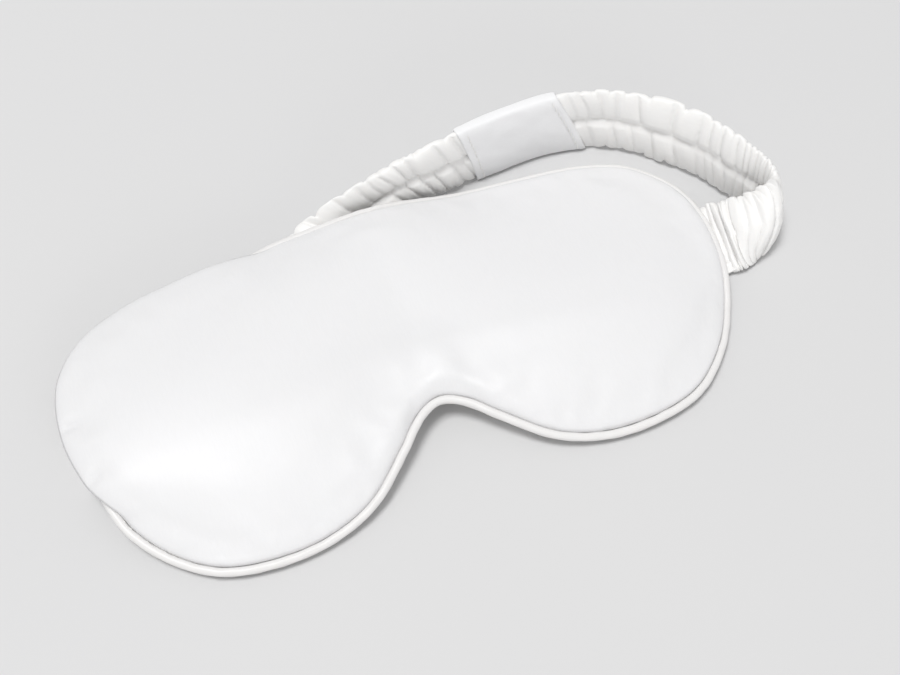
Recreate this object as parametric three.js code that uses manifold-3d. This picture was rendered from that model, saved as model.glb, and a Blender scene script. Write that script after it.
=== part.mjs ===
// Padded satin sleep mask with a ruched head strap, lying face up.
// Millimetres. +X runs towards the mask's right side, +Y towards its brow edge, +Z out of its front face.
// Inside this file the mask is drawn about the middle of its own width. The finished group is moved
// at the end, so that its origin is the middle of the whole object's footprint.
import * as THREE from 'three';
import { mergeVertices } from 'three/addons/utils/BufferGeometryUtils.js';
import Module from 'manifold-3d';

const wasm = await Module();
wasm.setup();

// ---------------------------------------------------------------- driving dimensions
const SEGMENTS = 64;            // steps round the mask's outline
const STRAP_STEPS = 44;         // steps along the strap
const GAP = 0.3;                // clearance between neighbouring layers
const FILL_GAP = 1.1;           // clearance between a padding and the panel over it
const LINER_GAP = 0.6;          // clearance between a padding and the liner
const LINER_HALF = 0.3;         // half the liner's thickness
const FABRIC = 0.5;             // satin, with its backing
const PIPING_R = 1.5;           // outside radius of the piping
const PIPING_BORE_R = 1.1;      // inside radius of its cover
const CORD_R = 0.8;             // filler cord
const SKIN_INSET = 2 * PIPING_R + GAP;  // the panels' rim, inside the piping
const FLANGE = 4.5;             // sewn-in width of the piping cover, from the cord's centre
const FRONT_PUFF = 8.0;         // front padding above the seam, at a lobe's middle
const BACK_PUFF = 3.7;          // back padding below the seam, where it rests
const BACK_FILL_MARGIN = 10;    // how much further in the back padding ends than the front one
const RIM_HALF = 1.75;          // half the thickness of the layers where they meet the piping
const RIM_RISE = 1.3;           // how far the edge curls up from what it rests on
const BRIDGE_LIFT = 6.2;        // arch over the nose
const BRIDGE_WIDTH = 27;        // how far to each side of the nose the arch fades
const BROW_DROP = 0.25;         // share by which the arch is lower at the brow
const BRIDGE_THIN = 0.3;        // share by which the front padding is thinner over the nose
const BRIDGE_THIN_WIDTH = 20;
const FLAT_REACH = 0.76;        // reach, from the middle, at which the underside starts to curl up
const STRAP_LIFT = 5.2;         // the left half rests on the strap folded under it
const STRAP_LIFT_FADE = [15, 34];   // distances from the folded strap over which that lift fades
const LIFT_MIX = 0.35;          // share of the smaller lift that adds to the larger where both act
const END_LIFT = 2.2;           // the right end rests on the sewn-in end of the strap
const END_FADE_X = [88, 102];
const END_FADE_Y = [12, 34];
const STRAP_WIDTH = 26.5;       // across the gathered strap
const CASING_T = 3.2;           // strap casing, outside
const CASING_WALL = 0.5;
const ELASTIC_T = 0.8;
const ELASTIC_MARGIN = 0.09;    // share of the width that the elastic leaves free at each edge
const THREAD = 0.3;
const THREAD_LIFT = 0.3;        // gap between a thread and the face it is sewn on
const SLEEVE_T = 0.4;           // satin label sleeve
const SLEEVE_GAP = 0.8;         // slack between the sleeve and the casing
const SLEEVE_MARGIN = 0.026;    // share of the width that the sleeve stands past each edge
const STRAP_LENGTH = 290;
const LABEL_FROM = 0.478;       // shares of the strap's length where the sleeve starts and ends
const LABEL_TO = 0.578;
const END_WIDTH = 26.4;         // strap ends, along Y
const END_TOP_Y = 14.0;
const TACK = [0.8, 24, 0.35];   // bar tack: along the strap, across it, thickness
const TACK_Y = 0.8;

// The right half of the outline, from the brow's middle round to the nose notch. The left half mirrors it.
const HALF_OUTLINE = [
  [0, 48.9], [27, 48.4], [52, 47.0], [78, 43.4], [92.6, 36.8], [101.4, 25.2], [104.7, 9], [102.6, -8.5],
  [96, -24.6], [87, -37], [74, -46.8], [57, -50.4], [41, -49.3], [27, -44.2], [14, -33.5], [6, -26], [0, -23.5],
];
const MIDDLE = new THREE.Vector2(0, 8);

// The strap's edges and its centre seam, from the mask's right side round to its left.
// near: the edge on the table; seam: the line sewn along the middle; far: the upper edge.
const STRAP = [
  { near: [106.4, -12.6, 2.4], seam: [106.4, 0.8, 2.8], far: [106.4, 14.0, 3.8] },
  { near: [110.0, -12.2, 2.1], seam: [110.8, -1.0, 5.4], far: [110.4, 10.8, 8.0] },
  { near: [114.0, -10.6, 1.7], seam: [115.5, -3.5, 9.5], far: [114.0, 8.0, 13.0] },
  { near: [120.0, -6.4, 1.2], seam: [121.0, -2.0, 11.5], far: [119.0, 4.6, 19.5] },
  { near: [123.6, 0.0, 1.0], seam: [124.6, 3.0, 12.5], far: [122.8, 4.2, 24.0] },
  { near: [122.6, 7.5, 1.0], seam: [123.4, 9.5, 13.0], far: [123.4, 10.5, 24.8] },
  { near: [118.4, 15.5, 1.0], seam: [119.6, 16.5, 13.0], far: [120.8, 18.0, 25.0] },
  { near: [111.6, 28.3, 1.0], seam: [113.0, 29.5, 13.0], far: [115.6, 30.0, 25.0] },
  { near: [100.4, 41.5, 1.0], seam: [102.0, 42.6, 13.0], far: [104.4, 43.4, 25.0] },
  { near: [87.0, 51.4, 1.0], seam: [88.4, 52.8, 13.0], far: [89.6, 53.6, 25.0] },
  { near: [70.0, 55.4, 1.0], seam: [70.6, 56.6, 13.0], far: [71.0, 58.0, 25.0] },
  { near: [50.0, 54.6, 1.0], seam: [49.6, 56.0, 13.0], far: [49.0, 57.4, 25.0] },
  { near: [33.0, 52.6, 1.0], seam: [31.6, 54.2, 13.0], far: [30.0, 54.6, 24.8] },
  { near: [20.0, 51.4, 1.0], seam: [16.5, 54.0, 10.5], far: [14.5, 54.2, 21.0] },
  { near: [8.0, 42.0, 2.3], seam: [1.5, 51.8, 3.6], far: [-2.5, 54.2, 14.4] },
  { near: [-4.0, 30.5, 2.3], seam: [-11.0, 43.0, 2.6], far: [-17.5, 53.0, 6.4] },
  { near: [-20.0, 22.5, 2.3], seam: [-28.0, 34.6, 2.4], far: [-34.0, 46.6, 3.0] },
  { near: [-42.0, 12.0, 2.3], seam: [-49.0, 23.8, 2.3], far: [-55.0, 35.6, 2.3] },
  { near: [-66.0, 1.6, 2.3], seam: [-72.0, 13.2, 2.3], far: [-77.0, 24.6, 2.3] },
  { near: [-86.0, -6.6, 2.3], seam: [-89.0, 5.6, 2.3], far: [-91.0, 17.8, 2.3] },
  { near: [-99.5, -12.0, 2.3], seam: [-99.5, 1.0, 2.3], far: [-99.5, 14.0, 2.3] },
];

// ---------------------------------------------------------------- materials
const satin = new THREE.MeshStandardMaterial({ color: 0xf3f1ee, roughness: 0.42, metalness: 0 });
const backSatin = new THREE.MeshStandardMaterial({ color: 0xefece8, roughness: 0.5, metalness: 0 });
const strapSatin = new THREE.MeshStandardMaterial({ color: 0xeeeae3, roughness: 0.45, metalness: 0 });
const labelSatin = new THREE.MeshStandardMaterial({ color: 0xeeeef2, roughness: 0.4, metalness: 0 });
const wadding = new THREE.MeshStandardMaterial({ color: 0xf4f4f2, roughness: 0.95, metalness: 0 });
const blackout = new THREE.MeshStandardMaterial({ color: 0x2a2a2c, roughness: 0.9, metalness: 0 });
const cotton = new THREE.MeshStandardMaterial({ color: 0xe6e0d4, roughness: 0.9, metalness: 0 });
const elastic = new THREE.MeshStandardMaterial({ color: 0xe9e7e2, roughness: 0.85, metalness: 0 });
const thread = new THREE.MeshStandardMaterial({ color: 0xf1eee8, roughness: 0.6, metalness: 0 });

// ---------------------------------------------------------------- helpers
const smooth = THREE.MathUtils.smoothstep;

function outlineCurve() {
  const right = HALF_OUTLINE.map(([x, y]) => new THREE.Vector3(x, y, 0));
  const left = HALF_OUTLINE.slice(1, -1).reverse().map(([x, y]) => new THREE.Vector3(-x, y, 0));
  return new THREE.CatmullRomCurve3([...right, ...left], true, 'centripetal');
}

const outline = outlineCurve();

// A point at a share of the way round the outline, moved inwards by inset.
function rimPoint(share, inset) {
  const turn = ((share % 1) + 1) % 1;
  const point = outline.getPoint(turn);
  const along = outline.getTangent(turn);
  return new THREE.Vector2(point.x + along.y * inset, point.y - along.x * inset);
}

// Distance from (x, y) to the middle line of the strap where it lies under the left half.
function distanceToTuckedStrap(x, y) {
  const line = new THREE.Line3(new THREE.Vector3(-104, 1, 0), new THREE.Vector3(-8, 44, 0));
  const place = new THREE.Vector3(x, y, 0);
  return line.closestPointToPoint(place, true, new THREE.Vector3()).distanceTo(place);
}

// Height of the mask's underside above the table.
function underside(x, y) {
  const overStrap = STRAP_LIFT * (1 - smooth(distanceToTuckedStrap(x, y), ...STRAP_LIFT_FADE));
  const arch = Math.max(Math.exp(-((x / BRIDGE_WIDTH) ** 2)) - 0.06, 0);
  const overNose = BRIDGE_LIFT * arch * (1 - BROW_DROP * smooth(y, -20, 45));
  const rightEnd = END_LIFT * smooth(x, ...END_FADE_X) * (1 - smooth(Math.abs(y - 1), ...END_FADE_Y));
  return Math.max(overStrap, overNose) + LIFT_MIX * Math.min(overStrap, overNose) + rightEnd;
}

// Height of the seam, at a reach from the middle (0) to the rim (1).
function seamHeight(x, y, reach) {
  const rim = smooth(reach, FLAT_REACH, 1);
  return underside(x, y) + THREE.MathUtils.lerp(BACK_PUFF, RIM_HALF + RIM_RISE, rim);
}

function frontTop(x, y, reach) {
  const fill = Math.sqrt(1 - Math.min(reach, 1) ** 5);
  const bridge = 1 - BRIDGE_THIN * Math.exp(-((x / BRIDGE_THIN_WIDTH) ** 2));
  return seamHeight(x, y, reach) + RIM_HALF + (FRONT_PUFF - RIM_HALF) * fill * bridge;
}

function backBottom(x, y, reach) {
  const rim = smooth(reach, FLAT_REACH, 1);
  return seamHeight(x, y, reach) - THREE.MathUtils.lerp(BACK_PUFF, RIM_HALF, rim);
}

function closedGeometry(geometry) {
  geometry.deleteAttribute('normal');
  geometry.deleteAttribute('uv');
  const merged = mergeVertices(geometry, 1e-4);
  const index = Array.from(merged.index.array);
  const kept = [];
  for (let i = 0; i < index.length; i += 3) {
    const [a, b, c] = index.slice(i, i + 3);
    if (a !== b && b !== c && c !== a) kept.push(a, b, c);
  }
  merged.setIndex(kept);
  merged.computeVertexNormals();
  return merged;
}

function toManifold(geometry) {
  return new wasm.Manifold(new wasm.Mesh({
    numProp: 3,
    vertProperties: new Float32Array(geometry.attributes.position.array),
    triVerts: new Uint32Array(geometry.index.array),
  }));
}

function fromManifold(solid) {
  const mesh = solid.getMesh();
  const geometry = new THREE.BufferGeometry();
  geometry.setAttribute('position', new THREE.BufferAttribute(new Float32Array(mesh.vertProperties), 3));
  geometry.setIndex(new THREE.BufferAttribute(new Uint32Array(mesh.triVerts), 1));
  geometry.computeVertexNormals();
  return geometry;
}

// The share of the way round the outline that a lathed vertex stands for.
function lathedTurn(x, z, steps) {
  return -Math.round((Math.atan2(x, z) / (2 * Math.PI)) * steps) / steps;
}

// A padded layer that follows the outline: a lathe's angle becomes the way round, its radius the share outwards.
// Heights go by reach, the share of the way out to the panels' rim, so that all layers nest.
function layerGeometry(inset, topOf, bottomOf) {
  const shares = [0, 0.34, 0.6, 0.76, 0.88, 0.96, 1];
  const bottom = shares.map((share) => new THREE.Vector2(share, 0));
  const top = shares.map((share) => new THREE.Vector2(share, 1)).reverse();
  const geometry = new THREE.LatheGeometry([...bottom, ...top], SEGMENTS);
  const place = geometry.attributes.position;
  for (let i = 0; i < place.count; i += 1) {
    const share = Math.hypot(place.getX(i), place.getZ(i));
    const turn = lathedTurn(place.getX(i), place.getZ(i), SEGMENTS);
    const spot = rimPoint(turn, inset).sub(MIDDLE).multiplyScalar(share);
    const reach = spot.length() / rimPoint(turn, SKIN_INSET).sub(MIDDLE).length();
    spot.add(MIDDLE);
    const height = place.getY(i) > 0.5 ? topOf(spot.x, spot.y, reach) : bottomOf(spot.x, spot.y, reach);
    place.setXYZ(i, spot.x, spot.y, height);
  }
  return closedGeometry(geometry);
}

// A ring that follows the outline: profile points are [outwards from the cord's centre, up].
function ringGeometry(profile) {
  const radius = 100;
  const closed = [...profile, profile[0]].map(([out, up]) => new THREE.Vector2(radius + out, up));
  const geometry = new THREE.LatheGeometry(closed, SEGMENTS);
  const place = geometry.attributes.position;
  for (let i = 0; i < place.count; i += 1) {
    const out = Math.hypot(place.getX(i), place.getZ(i)) - radius;
    const turn = lathedTurn(place.getX(i), place.getZ(i), SEGMENTS);
    const spot = rimPoint(turn, PIPING_R - out);
    place.setXYZ(i, spot.x, spot.y, seamHeight(spot.x, spot.y, 1) + place.getY(i));
  }
  return closedGeometry(geometry);
}

function rail(name) {
  return new THREE.CatmullRomCurve3(STRAP.map((station) => new THREE.Vector3(...station[name])), false, 'centripetal');
}

const nearRail = rail('near');
const seamRail = rail('seam');
const farRail = rail('far');

// A point of the strap: along 0 to 1, across 0 (near edge) to 1 (far edge), and lift off its middle surface.
// A positive lift is towards the strap's outer face, the one that continues the mask's front.
function strapPoint(share, across, lift) {
  const along = THREE.MathUtils.clamp(share, 0, 1);
  const near = nearRail.getPoint(along);
  const seam = seamRail.getPoint(along);
  const far = farRail.getPoint(along);
  const lower = near.clone().lerp(seam, Math.min(across * 2, 1));
  const place = lower.lerp(far, Math.max(across * 2 - 1, 0));
  const width = far.clone().sub(near);
  const way = seamRail.getTangent(along);
  const normal = way.clone().cross(width).normalize();
  return place.addScaledVector(normal, lift).addScaledVector(way, (share - along) * STRAP_LENGTH);
}

// A bar along the strap, drawn as a box whose three directions become along, across and lift.
function strapGeometry(from, to, low, high, bottom, top, steps, acrossSteps = 2) {
  const geometry = new THREE.BoxGeometry(1, 1, 1, steps, acrossSteps, 1);
  const place = geometry.attributes.position;
  for (let i = 0; i < place.count; i += 1) {
    const along = THREE.MathUtils.lerp(from, to, place.getX(i) + 0.5);
    const across = THREE.MathUtils.lerp(low, high, place.getY(i) + 0.5);
    const lift = THREE.MathUtils.lerp(bottom, top, place.getZ(i) + 0.5);
    const spot = strapPoint(along, across, lift);
    place.setXYZ(i, spot.x, spot.y, spot.z);
  }
  return closedGeometry(geometry);
}

function tubeGeometry(from, to, margin, half, wall, steps) {
  const outer = toManifold(strapGeometry(from, to, -margin, 1 + margin, -half, half, steps));
  const edge = wall / STRAP_WIDTH;
  const inner = toManifold(
    strapGeometry(from - 0.004, to + 0.004, edge - margin, 1 + margin - edge, wall - half, half - wall, steps),
  );
  return fromManifold(outer.subtract(inner));
}

const group = new THREE.Group();

function addPiece(name, geometry, material) {
  const piece = new THREE.Mesh(geometry, material);
  piece.name = name;
  group.add(piece);
}

// ---------------------------------------------------------------- mask layers
function addMaskLayers() {
  const fillInset = PIPING_R + FLANGE + GAP;
  const backFillInset = fillInset + BACK_FILL_MARGIN;
  const overLiner = LINER_HALF + LINER_GAP;
  const underPanel = FABRIC + FILL_GAP;
  addPiece('front_panel', layerGeometry(
    SKIN_INSET,
    frontTop,
    (x, y, reach) => frontTop(x, y, reach) - FABRIC,
  ), satin);
  addPiece('back_panel', layerGeometry(
    SKIN_INSET,
    (x, y, reach) => backBottom(x, y, reach) + FABRIC,
    backBottom,
  ), backSatin);
  addPiece('front_padding', layerGeometry(
    fillInset,
    (x, y, reach) => frontTop(x, y, reach) - underPanel,
    (x, y, reach) => seamHeight(x, y, reach) + overLiner,
  ), wadding);
  addPiece('blackout_liner', layerGeometry(
    fillInset,
    (x, y, reach) => seamHeight(x, y, reach) + LINER_HALF,
    (x, y, reach) => seamHeight(x, y, reach) - LINER_HALF,
  ), blackout);
  addPiece('back_padding', layerGeometry(
    backFillInset,
    (x, y, reach) => seamHeight(x, y, reach) - overLiner,
    (x, y, reach) => backBottom(x, y, reach) + underPanel,
  ), wadding);
}

// ---------------------------------------------------------------- piping
function addPiping() {
  const arcSteps = 6;
  const mouth = 0.34;
  const cover = [];
  for (let i = 0; i <= arcSteps; i += 1) {
    const angle = Math.PI - mouth - (2 * (Math.PI - mouth) * i) / arcSteps;
    cover.push([PIPING_R * Math.cos(angle), PIPING_R * Math.sin(angle)]);
  }
  cover.push([-FLANGE, -0.5], [-FLANGE, -0.2]);
  for (let i = arcSteps; i >= 0; i -= 1) {
    const angle = Math.PI - mouth / 2 - (2 * (Math.PI - mouth / 2) * i) / arcSteps;
    cover.push([PIPING_BORE_R * Math.cos(angle), PIPING_BORE_R * Math.sin(angle)]);
  }
  cover.push([-FLANGE, 0.2], [-FLANGE, 0.5]);
  addPiece('piping_cover', ringGeometry(cover.reverse()), satin);

  const cordSides = 6;
  const cord = [];
  for (let i = 0; i < cordSides; i += 1) {
    const angle = (2 * Math.PI * i) / cordSides;
    cord.push([CORD_R * Math.cos(angle), CORD_R * Math.sin(angle)]);
  }
  addPiece('piping_cord', ringGeometry(cord), cotton);

  const seam = [[-3.2, 0.7], [-2.9, 0.7], [-2.9, 1.0], [-3.2, 1.0]];
  addPiece('edge_seam_thread', ringGeometry(seam), thread);
}

// ---------------------------------------------------------------- sewn-in strap ends
// A sheet bent along a side path of [x, z] points, as wide in Y as the strap.
function bentEnd(path, thickness) {
  const turns = path.map(([x, z]) => new THREE.Vector2(x, z));
  const offset = (i) => {
    const before = turns[Math.max(i - 1, 0)];
    const after = turns[Math.min(i + 1, turns.length - 1)];
    const way = after.clone().sub(before).normalize();
    return new THREE.Vector2(-way.y, way.x).multiplyScalar(thickness / 2);
  };
  const upper = turns.map((turn, i) => turn.clone().add(offset(i)));
  const lower = turns.map((turn, i) => turn.clone().sub(offset(i))).reverse();
  const geometry = new THREE.ExtrudeGeometry(new THREE.Shape([...upper, ...lower]), {
    depth: END_WIDTH, bevelEnabled: false,
  });
  geometry.rotateX(Math.PI / 2);
  geometry.translate(0, END_TOP_Y, 0);
  return closedGeometry(geometry);
}

function addStrapEnds() {
  addPiece('strap_end_right', bentEnd([[98.5, 1.5], [101.5, 1.7], [104.4, 2.1]], 1.5), strapSatin);
  addPiece('strap_end_left', bentEnd([
    [-96.5, 5.2], [-100.5, 5.1], [-102.6, 4.3], [-103.3, 3.3], [-102.8, 2.3], [-101.4, 1.7], [-99.9, 1.5],
  ], 1.3), strapSatin);
  for (const [name, x, z] of [['bar_tack_right', 100.2, 2.85], ['bar_tack_left', -98.3, 6.15]]) {
    const tack = new THREE.BoxGeometry(...TACK);
    tack.translate(x, TACK_Y, z);
    addPiece(name, closedGeometry(tack), thread);
  }
}

// ---------------------------------------------------------------- strap
function addStrap() {
  const half = CASING_T / 2;
  addPiece('strap_casing', tubeGeometry(0, 1, 0, half, CASING_WALL, STRAP_STEPS), strapSatin);
  addPiece('strap_elastic', strapGeometry(
    0.003, 0.997, ELASTIC_MARGIN, 1 - ELASTIC_MARGIN, -ELASTIC_T / 2, ELASTIC_T / 2, STRAP_STEPS,
  ), elastic);
  const threadHalf = THREAD / STRAP_WIDTH / 2;
  const onFace = half + THREAD_LIFT;
  for (const [name, bottom, top] of [
    ['centre_needle_thread', onFace, onFace + THREAD],
    ['centre_bobbin_thread', -onFace - THREAD, -onFace],
  ]) {
    const low = 0.5 - threadHalf;
    const high = 0.5 + threadHalf;
    addPiece(name, strapGeometry(0.01, 0.99, low, high, bottom, top, STRAP_STEPS, 1), thread);
  }
}

function addLabel() {
  const outside = CASING_T / 2 + SLEEVE_GAP + SLEEVE_T;
  addPiece('label_sleeve', tubeGeometry(LABEL_FROM, LABEL_TO, SLEEVE_MARGIN, outside, SLEEVE_T, 8), labelSatin);
  const stitchWidth = 0.0015;
  const fromEnd = 0.004;
  const bottom = outside + THREAD_LIFT;
  for (const [name, along] of [
    ['label_stitch_right', LABEL_FROM + fromEnd],
    ['label_stitch_left', LABEL_TO - fromEnd - stitchWidth],
  ]) {
    addPiece(name, strapGeometry(along, along + stitchWidth, 0.06, 0.94, bottom, bottom + THREAD, 1), thread);
  }
}

addMaskLayers();
addPiping();
addStrapEnds();
addStrap();
addLabel();

const box = new THREE.Box3().setFromObject(group);
const centre = box.getCenter(new THREE.Vector3());
group.position.set(-centre.x, -centre.y, 0);

export default group;
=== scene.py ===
import math

import bpy
import numpy as np
from mathutils import Matrix, Vector, noise
from mathutils.geometry import delaunay_2d_cdt
from mathutils.kdtree import KDTree


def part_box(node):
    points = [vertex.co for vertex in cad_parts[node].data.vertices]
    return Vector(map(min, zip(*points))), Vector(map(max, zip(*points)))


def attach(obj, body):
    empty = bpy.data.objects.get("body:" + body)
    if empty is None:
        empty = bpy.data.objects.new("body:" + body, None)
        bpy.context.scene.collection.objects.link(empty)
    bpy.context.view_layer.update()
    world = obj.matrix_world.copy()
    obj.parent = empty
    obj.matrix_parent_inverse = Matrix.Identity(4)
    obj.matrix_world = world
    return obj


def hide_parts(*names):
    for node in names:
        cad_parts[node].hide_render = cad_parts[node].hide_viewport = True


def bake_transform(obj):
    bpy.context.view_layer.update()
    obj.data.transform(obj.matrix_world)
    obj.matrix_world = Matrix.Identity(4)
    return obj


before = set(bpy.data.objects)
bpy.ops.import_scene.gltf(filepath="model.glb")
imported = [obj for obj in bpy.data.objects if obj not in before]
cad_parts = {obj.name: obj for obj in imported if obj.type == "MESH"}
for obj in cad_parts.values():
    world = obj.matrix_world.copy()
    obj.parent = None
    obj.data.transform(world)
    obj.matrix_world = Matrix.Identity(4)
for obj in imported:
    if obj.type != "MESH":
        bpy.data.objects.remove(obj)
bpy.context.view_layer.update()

# ---------------------------------------------------------------- the frame's own measures
# Shapes are worked out in millimetres about the middle of the mask's width, as the CAD model is,
# and moved into the frame, in metres, when a mesh is made.
MM = 0.001
PIPING_LOW, PIPING_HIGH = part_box("piping_cover")
HALF_OUTLINE = [
    (0, 48.9), (27, 48.4), (52, 47.0), (78, 43.4), (92.6, 36.8), (101.4, 25.2), (104.7, 9),
    (102.6, -8.5), (96, -24.6), (87, -37), (74, -46.8), (57, -50.4), (41, -49.3), (27, -44.2),
    (14, -33.5), (6, -26), (0, -23.5),
]
PIPING_R = 1.3
PIPING_WRINKLE = 0.07       # how much the piping's radius varies
CORD_R = 0.8
SKIN_INSET = 1.75 * PIPING_R            # from the mask's outer edge to the panels' rim
SATIN_T = 0.6               # satin and seam allowance between the front and back bodies
FRONT_T = 1.0               # thickness of the front cloth at its rim, above the seam
PUFF, LOBE_PUFF = 3.5, 6.0  # how far the front is stuffed everywhere, and more over each eye
NOSE_DIP = 0.8              # and less over the nose
LOBE_X, LOBE_Y = 55, -7     # where the stuffing is fullest
BACK_PUFF = 3.7             # how far the back panel swells down from the seam
RIM_HALF = 1.75             # height of the seam above the back panel's rim
RIM_RISE = 1.3              # height of that rim above the floor
FLAT_REACH = 0.76           # share of the way out at which the seam starts to fall to the rim
BRIDGE_LIFT = 6.2           # how high the mask arches over the nose
BRIDGE_HALF = 27            # how far that arch spreads to each side
STRAP_LIFT = 5.2            # how high the tucked strap holds the left half up
TUCKED_FROM, TUCKED_TO = np.array([-104.0, 1.0]), np.array([-8.0, 44.0])    # its middle line there
MIDDLE = np.array([0.0, 8.0])           # the panels' height is counted from here out to the rim
ROLLED_UNDER = 2.5          # how far the piping is drawn in where the edge rolls under
ROLLED_DROP = 0.6           # and how far down
ROLL_WIDTH = 14             # how far in from the rim the panels move with it
STUFFING_OUT = 4.3          # how far the front panel rolls out over the piping there
ELASTIC_HALF = 0.41         # half the elastic's width, as a share of the strap's
ELASTIC_T = 0.8
ELASTIC_RIB = 0.06          # depth of the grooves between its ribs
ELASTIC_RIBS = 40
END_HALF = 0.7              # half the thickness of the strap's flat ends
JOIN = 0.185                # share of the strap's length where its right-hand turn meets the loop
LABEL_FROM, LABEL_TO = 0.478, 0.578     # shares of the strap's length where the sleeve lies
LABEL_LIFT = 2.35           # how far the sleeve stands off the strap's middle surface
STITCH_LIFT = 2.74          # and its stitches
PUCKER = 1.3                # height of the gathers in the channels
TURN_PUCKER = 0.9           # how much higher they are in the right-hand turn
DEEP_PUCKER = 0.5           # and beyond the sleeve
SINK = 0.45                 # how far the creases lie below the strap's even surface
STAND, BELLY = 1.0, 0.7     # the casing's half thickness at its seam, and how much more in a channel

# The strap's edges and centre seam, from the mask's right side round to its left.
STRAP_STATIONS = [
    ((106.4, -12.6, 2.4), (106.4, 0.8, 2.8), (106.4, 14.0, 3.8)),
    ((110.0, -12.2, 2.1), (110.8, -1.0, 5.4), (110.4, 10.8, 8.0)),
    ((114.0, -10.6, 1.7), (115.5, -3.5, 9.5), (114.0, 8.0, 13.0)),
    ((120.0, -6.4, 1.2), (121.0, -2.0, 11.5), (119.0, 4.6, 19.5)),
    ((123.6, 0.0, 0.8), (124.6, 3.0, 12.5), (122.8, 4.2, 24.0)),
    ((122.6, 7.5, 1.0), (123.4, 9.5, 13.0), (123.4, 10.5, 24.8)),
    ((118.4, 15.5, 1.0), (119.6, 16.5, 13.0), (120.8, 18.0, 25.0)),
    ((111.6, 28.3, 1.0), (113.0, 29.5, 13.0), (115.6, 30.0, 25.0)),
    ((100.4, 41.5, 1.0), (102.0, 42.6, 13.0), (104.4, 43.4, 25.0)),
    ((87.0, 51.4, 1.0), (88.4, 52.8, 13.0), (89.6, 53.6, 25.0)),
    ((70.0, 55.4, 1.0), (70.6, 56.6, 13.0), (71.0, 58.0, 25.0)),
    ((50.0, 54.6, 1.0), (49.6, 56.0, 13.0), (49.0, 57.4, 25.0)),
    ((33.0, 52.6, 1.0), (31.6, 54.2, 13.0), (30.0, 54.6, 24.8)),
    ((20.0, 51.4, 1.0), (16.5, 54.0, 10.5), (14.5, 54.2, 21.0)),
    ((8.0, 42.0, 2.3), (1.5, 51.8, 3.6), (-2.5, 54.2, 14.4)),
    ((-4.0, 30.5, 2.3), (-11.0, 43.0, 2.6), (-17.5, 53.0, 6.4)),
    ((-20.0, 22.5, 2.3), (-28.0, 34.6, 2.4), (-34.0, 46.6, 3.0)),
    ((-42.0, 12.0, 2.3), (-49.0, 23.8, 2.3), (-55.0, 35.6, 2.3)),
    ((-66.0, 1.6, 2.3), (-72.0, 13.2, 2.3), (-77.0, 24.6, 2.3)),
    ((-86.0, -6.6, 2.3), (-89.0, 5.6, 2.3), (-91.0, 17.8, 2.3)),
    ((-99.5, -12.0, 2.3), (-99.5, 1.0, 2.3), (-99.5, 14.0, 2.3)),
]


def catmull_rom(points, shares, closed=False):
    """Points on the centripetal Catmull-Rom curve through points, at shares of the way along it."""
    points = np.asarray(points, float)
    count = len(points)
    spans = count if closed else count - 1
    if closed:
        padded = np.vstack([points[-1], points, points[0], points[1]])
    else:
        padded = np.vstack([2 * points[0] - points[1], points, 2 * points[-1] - points[-2]])
    place = np.clip(np.asarray(shares, float), 0, 1) * spans
    index = np.minimum(place.astype(int), spans - 1)
    local = (place - index)[:, None]
    p0, p1, p2, p3 = (padded[index + k] for k in range(4))
    steps = [np.maximum(np.linalg.norm(b - a, axis=1, keepdims=True) ** 0.5, 1e-6)
             for a, b in ((p0, p1), (p1, p2), (p2, p3))]
    d0, d1, d2 = steps
    m1 = ((p1 - p0) / d0 - (p2 - p0) / (d0 + d1) + (p2 - p1) / d1) * d1
    m2 = ((p2 - p1) / d1 - (p3 - p1) / (d1 + d2) + (p3 - p2) / d2) * d1
    t2, t3 = local ** 2, local ** 3
    from_start = (2 * t3 - 3 * t2 + 1) * p1 + (t3 - 2 * t2 + local) * m1
    return from_start + (3 * t2 - 2 * t3) * p2 + (t3 - t2) * m2


def make_outline(count):
    """The mask's outer edge as evenly spaced points, clockwise from the middle of the brow."""
    left = [(-x, y) for x, y in reversed(HALF_OUTLINE[1:-1])]
    rough = catmull_rom(HALF_OUTLINE + left, np.linspace(0, 1, 4000, endpoint=False), closed=True)
    loop = np.vstack([rough, rough[:1]])
    run = np.concatenate([[0], np.cumsum(np.linalg.norm(np.diff(loop, axis=0), axis=1))])
    even = np.linspace(0, run[-1], count, endpoint=False)
    return np.column_stack([np.interp(even, run, loop[:, k]) for k in (0, 1)])


OUTLINE = make_outline(1440)
OUTLINE_WAY = np.roll(OUTLINE, -1, axis=0) - np.roll(OUTLINE, 1, axis=0)
OUTLINE_WAY /= np.linalg.norm(OUTLINE_WAY, axis=1, keepdims=True)
OUTLINE_IN = np.column_stack([OUTLINE_WAY[:, 1], -OUTLINE_WAY[:, 0]])
SHIFT = np.array([
    (PIPING_LOW.x + PIPING_HIGH.x) / 2 / MM,
    PIPING_HIGH.y / MM - OUTLINE[:, 1].max(),
    0.0,
])


def smoothstep(value, low, high):
    """0 below low, 1 above high and a smooth rise between them."""
    t = np.clip((np.asarray(value, float) - low) / (high - low), 0, 1)
    return t * t * (3 - 2 * t)


OUTLINE_TREE = KDTree(len(OUTLINE))
for number, point in enumerate(OUTLINE):
    OUTLINE_TREE.insert((*point, 0), number)
OUTLINE_TREE.balance()


def edge_distance(xy):
    """Distance from each point to the outline, and the outline index nearest to it."""
    found = [OUTLINE_TREE.find((x, y, 0)) for x, y in xy]
    return np.array([gap for _, _, gap in found]), np.array([number for _, number, _ in found])


def tucked_strap_distance(x, y):
    """Distance to the middle line of the strap where it lies under the left half."""
    way = TUCKED_TO - TUCKED_FROM
    t = np.clip(((x - TUCKED_FROM[0]) * way[0] + (y - TUCKED_FROM[1]) * way[1]) / (way @ way), 0, 1)
    return np.hypot(x - TUCKED_FROM[0] - t * way[0], y - TUCKED_FROM[1] - t * way[1])


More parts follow.
